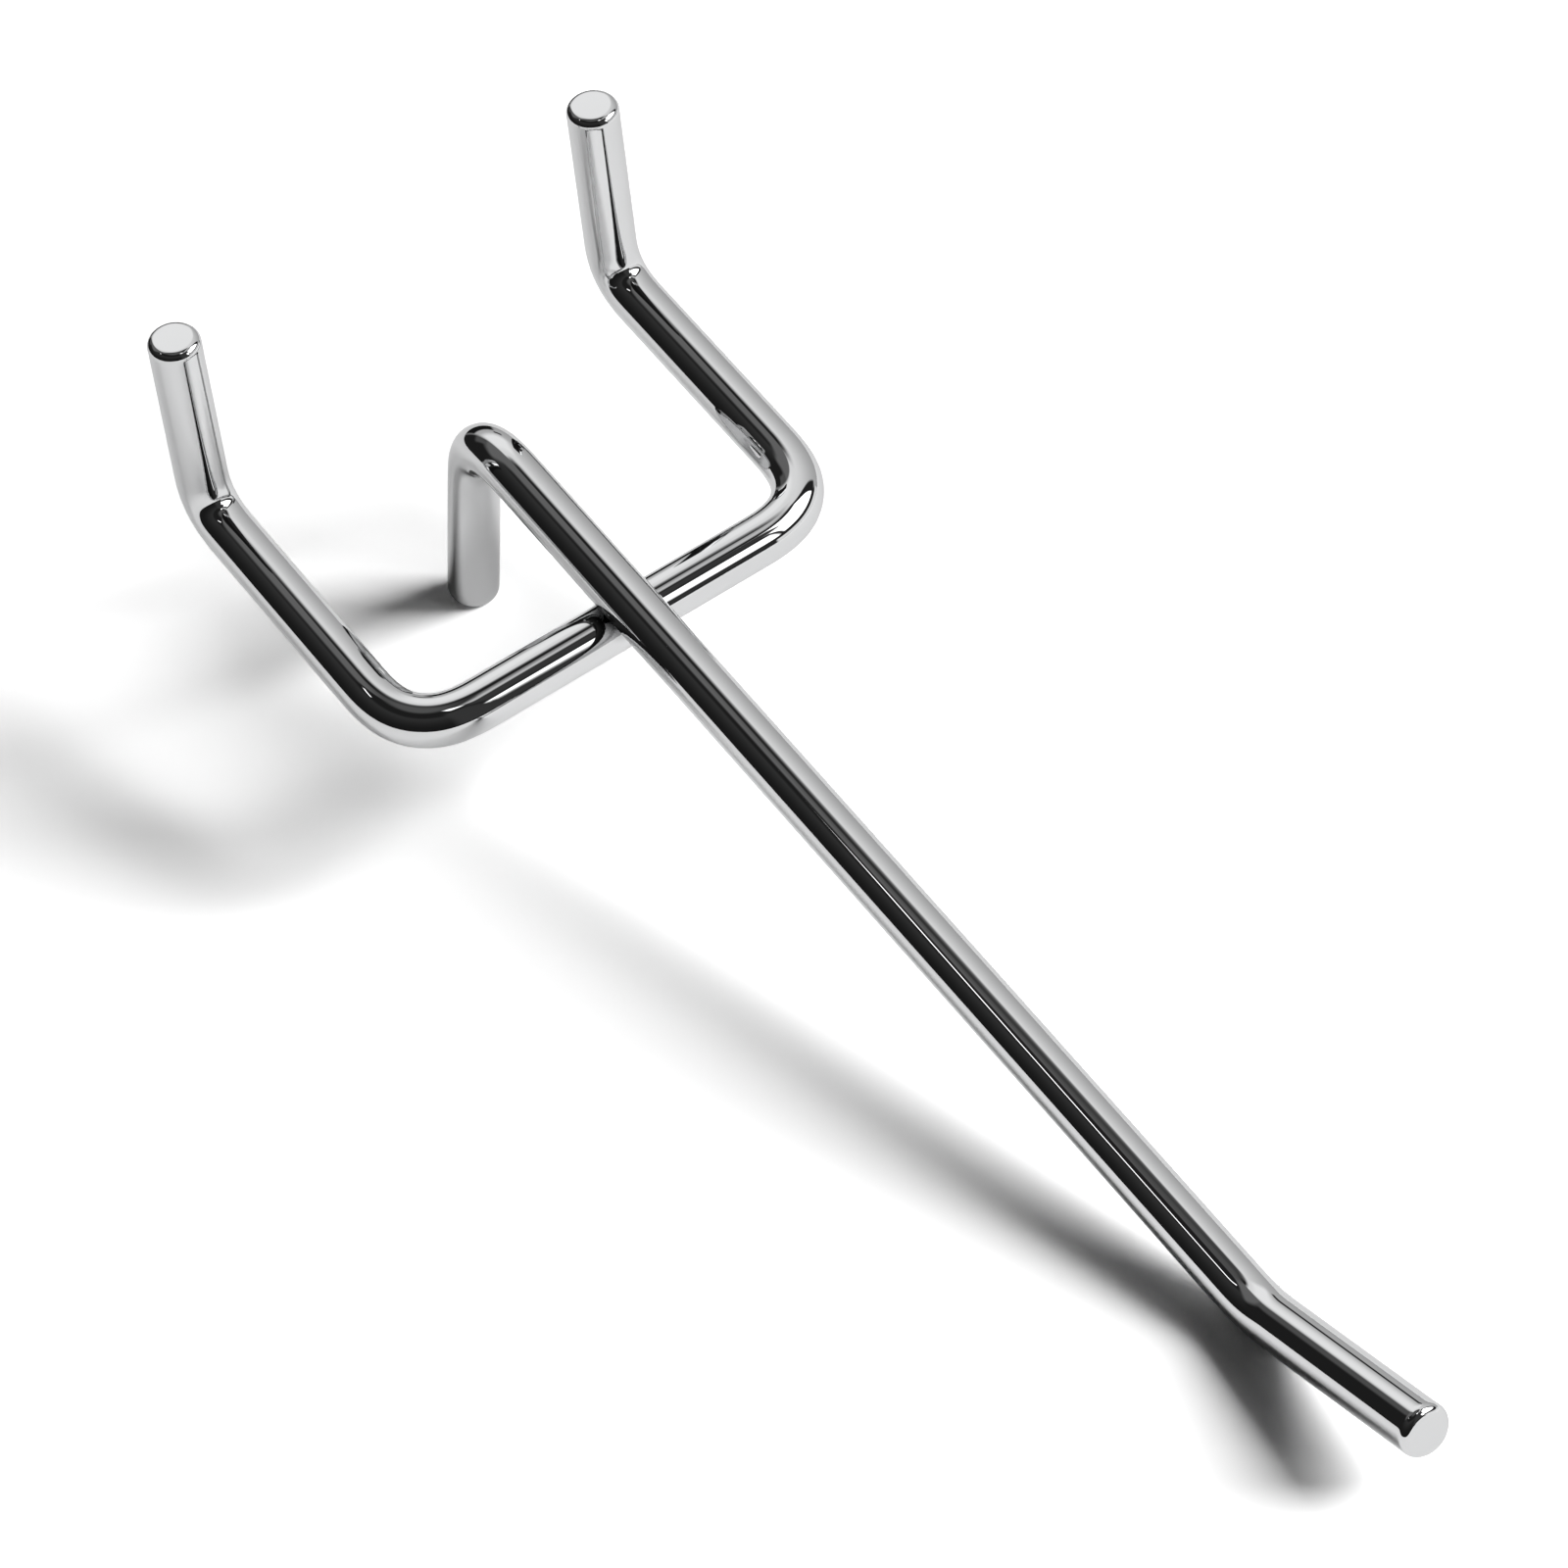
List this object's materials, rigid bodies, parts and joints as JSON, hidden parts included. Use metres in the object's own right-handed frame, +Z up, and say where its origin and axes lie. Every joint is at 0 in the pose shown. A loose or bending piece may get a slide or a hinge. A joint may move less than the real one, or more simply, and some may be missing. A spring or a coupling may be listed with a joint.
{
  "type": "pegboard hook",
  "caption": "Chrome-plated wire pegboard hook: a straight arm with an upturned tip and a rear leg, welded across a U-shaped back loop whose pegs turn up behind the board.",
  "frame": {"origin": "on the board's front face, midway between the two pegs, in the plane of the back loop", "axes": "+X across the pegs, +Y into the board, +Z up, so the arm points to -Y"},
  "size_m": [0.0562, 0.1705, 0.05],
  "materials": {
    "chrome_wire": "bright chrome plating on drawn steel wire"
  },
  "bodies": {
    "root": {"hook_arm": "chrome_wire", "back_loop": "chrome_wire"}
  },
  "joints": []
}
